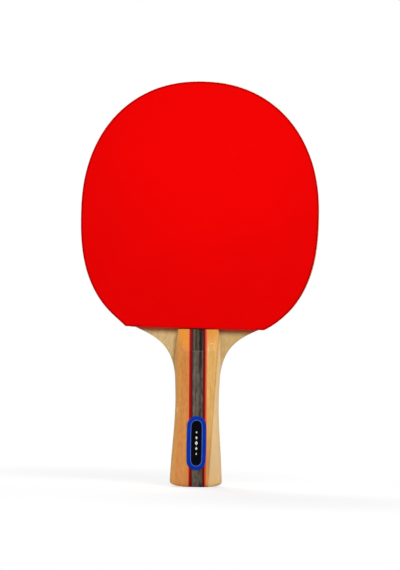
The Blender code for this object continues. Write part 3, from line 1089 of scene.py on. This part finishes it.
def diamondShape():
    # a column of plain diamonds, largest in the middle
    low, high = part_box("grip_badge")
    depths = (crownDepth - badge["diamondSink"], badgeFar - badge["diamondRound"], badgeFar)
    shape = None
    for index, size in enumerate(badge["diamonds"]):
        step = index - (len(badge["diamonds"]) - 1) / 2
        up = (low.z + high.z) / 2 + step * badge["diamondPitch"]
        wide, tall = badge["diamondWide"] * size, badge["diamondHigh"] * size
        corners = ((wide, 0), (0, tall), (-wide, 0), (0, -tall))
        rings = []
        for depth, share in zip(depths, (1.0, 1.0, badge["diamondTop"])):
            rings.append([(a * share, -depth, up + h * share) for a, h in corners])
        shape = loft(rings, shape=shape)
    return shape


def badgeRings(rows):
    return sheetRings(badgeLoop, rows, sides["front"])


enamels = {hue: enamel(f"{hue}Enamel", badge[hue]) for hue in ("blue", "black", "pale", "line")}
addPiece("badgePlate", loft(badgeRings(plateRows())), enamels["blue"], "badge", "grip_badge")
addPiece("badgePanel", loft(badgeRings(panelRows())), enamels["black"], "badge")
addPiece("badgeLine", loft(badgeRings(lineRows()), closed=True), enamels["line"], "badge")
addPiece("badgeDiamonds", diamondShape(), enamels["pale"], "badge")
print("badge: plate, panel, line and", len(badge["diamonds"]), "diamonds")


# studio

studio = {
    "away": 3.0,
    "sensor": 36,
    "frameHeight": 0.3592,
    "aim": (0.0006, -0.0066, 0.1273),
    "roll": -0.97,
    "white": (1, 1, 1, 1),
    "worldLevel": 0.22,
    "lampTarget": (0, 0, 0.14),
    "lamps": {
        "key": {"at": (0.25, -0.75, 0.75), "size": 0.45, "power": 7.2},
        "fill": {"at": (-0.9, -1.35, 0.45), "size": 1.1, "power": 2.0},
        "backKey": {"at": (-0.25, 0.75, 0.75), "size": 0.45, "power": 7.2},
        "backFill": {"at": (1.2, 1.25, 0.5), "size": 1.1, "power": 4.0},
    },
    "floorRadius": 6.0,
    "floorSides": 96,
    "floorGlow": 0.7,
    "floorFade": (300, 900),
    "floorSpeck": (3, 3, 3),
    "floorTones": (tint(214, 214, 214), tint(222, 222, 222)),
    "seenTones": (tint(246, 246, 246), tint(252, 252, 252)),
}


def addCamera():
    data = bpy.data.cameras.new("camera")
    data.sensor_width = studio["sensor"]
    data.lens = studio["sensor"] * studio["away"] / studio["frameHeight"]
    camera = addObject("camera", data)
    camera.location = Vector(studio["aim"]) + Vector((0, -studio["away"], 0))
    camera.rotation_euler = (math.pi / 2, math.radians(studio["roll"]), 0)
    bpy.context.scene.camera = camera


def addLamp(name, lamp):
    data = bpy.data.lights.new(name, "AREA")
    data.size = lamp["size"]
    data.energy = lamp["power"]
    made = addObject(name, data)
    made.location = lamp["at"]
    made.rotation_mode = "QUATERNION"
    made.rotation_quaternion = (Vector(studio["lampTarget"]) - Vector(lamp["at"])).to_track_quat("-Z", "Y")
    made.visible_camera = False


def seenRays(look):
    # 1 for rays that show the surroundings, 0 for those that only light the paddle
    names = ("Is Camera Ray", "Is Glossy Ray", "Is Transmission Ray")
    camera, glossy, through = (look.node("ShaderNodeLightPath", out=name) for name in names)
    return camera.larger(glossy).larger(through)


def makeWorld():
    world = bpy.data.worlds.new("studioWorld")
    bpy.context.scene.world = world
    look = Look(world)
    level = studio["worldLevel"]
    sockets = {"Color": studio["white"], "Strength": level + seenRays(look) * (1 - level)}
    look.output(look.node("ShaderNodeBackground", None, sockets), "ShaderNodeOutputWorld")


def floorPaint():
    # the eye sees it nearly white, with the paddle's shadow, and white further out
    look = newLook("paleFloor")
    at = look.place()
    speck = look.noise(at, studio["floorSpeck"], detail=4.0)
    matt = look.node("ShaderNodeBsdfDiffuse", None, {"Color": look.mix(speck, *studio["floorTones"])})
    pale = look.node("ShaderNodeBsdfDiffuse", None, {"Color": look.mix(speck, *studio["seenTones"])})
    glow = look.node("ShaderNodeEmission", None, {"Color": studio["white"], "Strength": 1.0})
    across, along, _ = look.axes(at)
    far = (across * across + along * along).root().rise(*studio["floorFade"])
    share = studio["floorGlow"] + far * (1 - studio["floorGlow"])
    look.output(look.blended(seenRays(look), matt, look.blended(share, pale, glow)))
    return look.owner


def addFloor():
    shape = bmesh.new()
    bmesh.ops.create_circle(shape, cap_ends=True, segments=studio["floorSides"], radius=studio["floorRadius"])
    mesh = bpy.data.meshes.new("floor")
    shape.to_mesh(mesh)
    shape.free()
    mesh.materials.append(floorPaint())
    addObject("floor", mesh)


bpy.context.scene.view_settings.view_transform = "Standard"
addCamera()
for lampName, lamp in studio["lamps"].items():
    addLamp(lampName, lamp)
makeWorld()
addFloor()
print("studio: camera,", len(studio["lamps"]), "lamps, floor")
